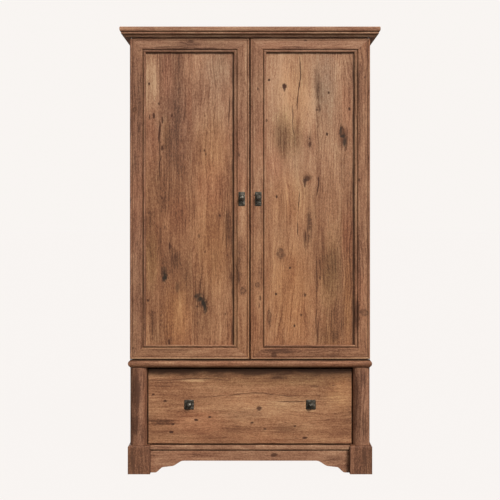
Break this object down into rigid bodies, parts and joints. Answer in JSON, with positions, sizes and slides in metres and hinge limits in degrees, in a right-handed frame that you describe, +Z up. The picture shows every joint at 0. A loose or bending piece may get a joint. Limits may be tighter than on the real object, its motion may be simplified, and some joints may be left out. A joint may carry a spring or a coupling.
{
  "type": "armoire",
  "caption": "Freestanding oak armoire with framed doors on pivot hinges above a wide drawer, with a moulded cornice, half-round corner columns and block feet.",
  "frame": {"origin": "on the floor at the middle of the overall footprint", "axes": "+Z up, -Y to the front (doors and drawer), +X to the right seen from the front"},
  "size_m": [1.066, 0.539, 1.83],
  "materials": {
    "oak_door_frames": "knotty oak, mid brown, open grain, satin wax",
    "oak_door_panels": "knotty oak boards with dark knots and checks, satin wax",
    "oak_drawer_front": "knotty oak board with small checks, satin wax",
    "oak_cornice": "knotty oak, lit top edge, satin wax",
    "oak_waist": "knotty oak moulding, satin wax",
    "oak_columns": "knotty oak, darker tone, satin wax",
    "oak_feet": "knotty oak, darker tone, satin wax",
    "oak_apron": "knotty oak, satin wax",
    "oak_case": "knotty oak boards, satin wax",
    "plywood_box": "pale plywood, unfinished",
    "hardboard_back": "brown hardboard, matt",
    "bronze_pulls": "dark bronze over hammered metal, worn highlights",
    "steel_hinges": "zinc plated",
    "steel_runners": "zinc plated",
    "steel_rail": "bright plated"
  },
  "bodies": {
    "case": {"apron": "oak_apron", "back_panel": "hardboard_back", "bottom_board": "oak_case", "column_left": "oak_columns", "column_right": "oak_columns", "cornice_cap": "oak_cornice", "cornice_moulding_front": "oak_cornice", "cornice_moulding_left": "oak_cornice", "cornice_moulding_right": "oak_cornice", "fixed_bottom_leaf_left": "steel_hinges", "fixed_bottom_leaf_right": "steel_hinges", "fixed_top_leaf_left": "steel_hinges", "fixed_top_leaf_right": "steel_hinges", "foot_block_left": "oak_feet", "foot_block_right": "oak_feet", "hanging_rod": "steel_rail", "hat_shelf": "oak_case", "rod_socket_left": "steel_rail", "rod_socket_right": "steel_rail", "runner_block_left": "plywood_box", "runner_block_right": "plywood_box", "runner_fixed_left": "steel_runners", "runner_fixed_right": "steel_runners", "side_panel_left": "oak_case", "side_panel_right": "oak_case", "top_panel": "oak_case", "waist_board": "oak_case", "waist_moulding_front": "oak_waist", "waist_moulding_left": "oak_waist", "waist_moulding_right": "oak_waist"},
    "door_left": {"door_left_bottom_leaf": "steel_hinges", "door_left_bottom_rail": "oak_door_frames", "door_left_inner_stile": "oak_door_frames", "door_left_outer_stile": "oak_door_frames", "door_left_panel": "oak_door_panels", "door_left_pull_knob": "bronze_pulls", "door_left_pull_plate": "bronze_pulls", "door_left_top_leaf": "steel_hinges", "door_left_top_rail": "oak_door_frames"},
    "door_right": {"door_right_bottom_leaf": "steel_hinges", "door_right_bottom_rail": "oak_door_frames", "door_right_inner_stile": "oak_door_frames", "door_right_outer_stile": "oak_door_frames", "door_right_panel": "oak_door_panels", "door_right_pull_knob": "bronze_pulls", "door_right_pull_plate": "bronze_pulls", "door_right_top_leaf": "steel_hinges", "door_right_top_rail": "oak_door_frames"},
    "drawer": {"drawer_back": "plywood_box", "drawer_bottom": "plywood_box", "drawer_front": "oak_drawer_front", "drawer_pull_knob_left": "bronze_pulls", "drawer_pull_knob_right": "bronze_pulls", "drawer_pull_plate_left": "bronze_pulls", "drawer_pull_plate_right": "bronze_pulls", "drawer_side_left": "plywood_box", "drawer_side_right": "plywood_box", "runner_moving_left": "steel_runners", "runner_moving_right": "steel_runners"}
  },
  "joints": [
    {"name": "door_left_swing", "type": "hinge", "parent": "case", "child": "door_left", "pos_m": [-0.4865, -0.2295, 0.47], "axis": [0, 0, -1], "range_deg": [0, 110]},
    {"name": "door_right_swing", "type": "hinge", "parent": "case", "child": "door_right", "pos_m": [0.4865, -0.2295, 0.47], "axis": [0, 0, 1], "range_deg": [0, 110]},
    {"name": "drawer_slide", "type": "slide", "parent": "case", "child": "drawer", "axis": [0, -1, 0], "range_m": [0, 0.35]}
  ]
}
